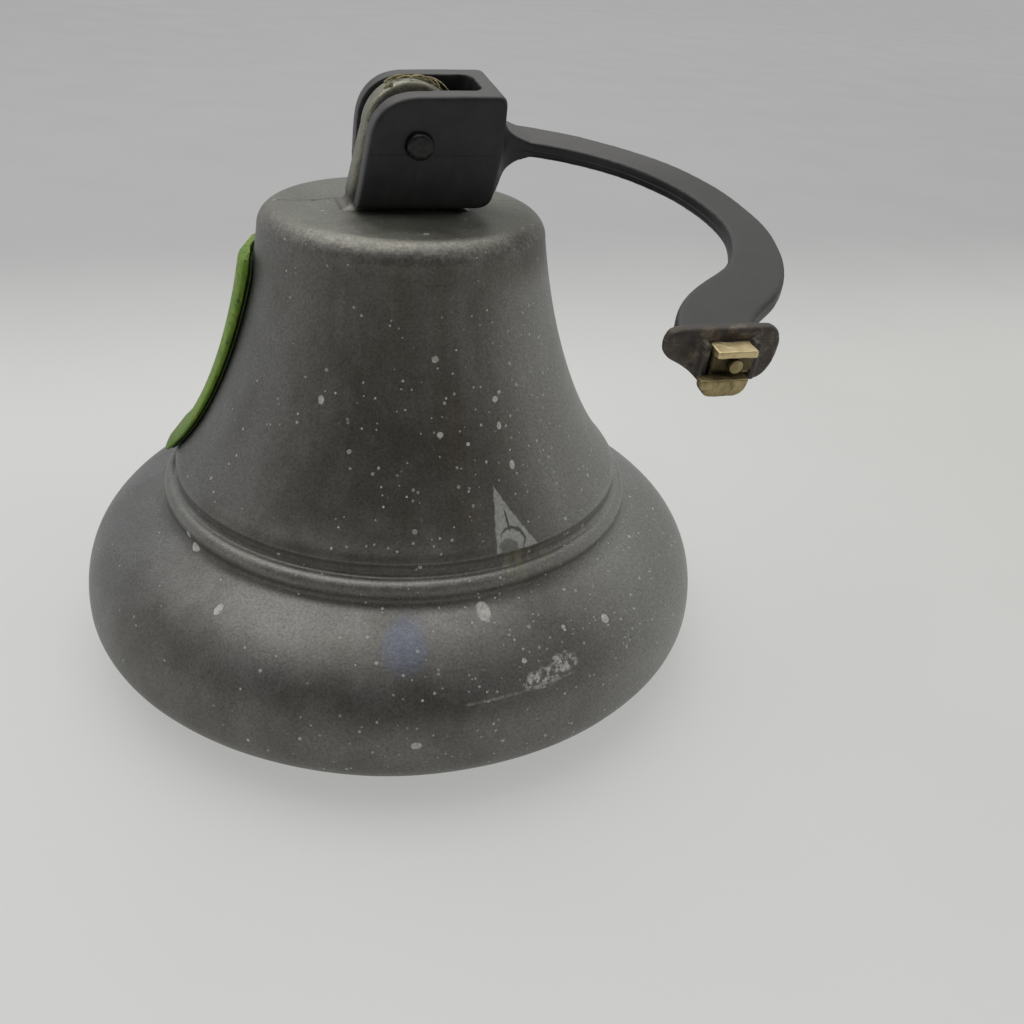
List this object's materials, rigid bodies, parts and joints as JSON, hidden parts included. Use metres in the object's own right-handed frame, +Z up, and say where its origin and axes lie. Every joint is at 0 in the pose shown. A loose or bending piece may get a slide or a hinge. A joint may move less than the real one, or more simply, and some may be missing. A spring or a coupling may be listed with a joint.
{
  "type": "wall bracket bell",
  "caption": "Flared cast bell with a bulged lip, rocking on a bolt in the fork of a swan-neck bracket, with a free clapper.",
  "frame": {"origin": "centre of the bounding box at the level of the mouth rim, where the bell stands", "axes": "+Z up along the bell's axis, X along the fork, the arm comes forward along -Y"},
  "size_m": [0.16, 0.181, 0.1389],
  "materials": {
    "bell_metal": "dark patina, satin",
    "black_casting": "black, satin",
    "dark_steel": "dull, stained",
    "brass": "worn, tarnished",
    "green_label": "semi-gloss",
    "label_backing": "matte"
  },
  "bodies": {
    "bell": {"bell_shell": "bell_metal", "label_plate": "green_label", "label_backing": "label_backing", "eye_bolt": "dark_steel", "eye_locknut": "dark_steel"},
    "bracket": {"bracket": "black_casting", "pivot_bolt": "dark_steel", "pivot_washer": "dark_steel", "pivot_nut": "dark_steel", "mount_foot": "brass", "foot_screw": "brass"},
    "link": {"clapper_link": "dark_steel"},
    "clapper": {"clapper_rod": "dark_steel", "clapper_ball": "bell_metal", "ball_nut": "dark_steel"}
  },
  "joints": [
    {"name": "fork_hinge", "type": "hinge", "parent": "bell", "child": "bracket", "pos_m": [0.0012, 0.0105, 0.1271], "axis": [0, 0.9925, 0.1219], "range_deg": [-3.5, 3.5]},
    {"name": "link_swing", "type": "hinge", "parent": "bell", "child": "link", "pos_m": [0, 0.0105, 0.084], "axis": [1, 0, 0], "range_deg": [-28, 28]},
    {"name": "clapper_swing", "type": "hinge", "parent": "link", "child": "clapper", "pos_m": [0, 0.0105, 0.0755], "axis": [0, 1, 0], "range_deg": [-28, 28]}
  ]
}
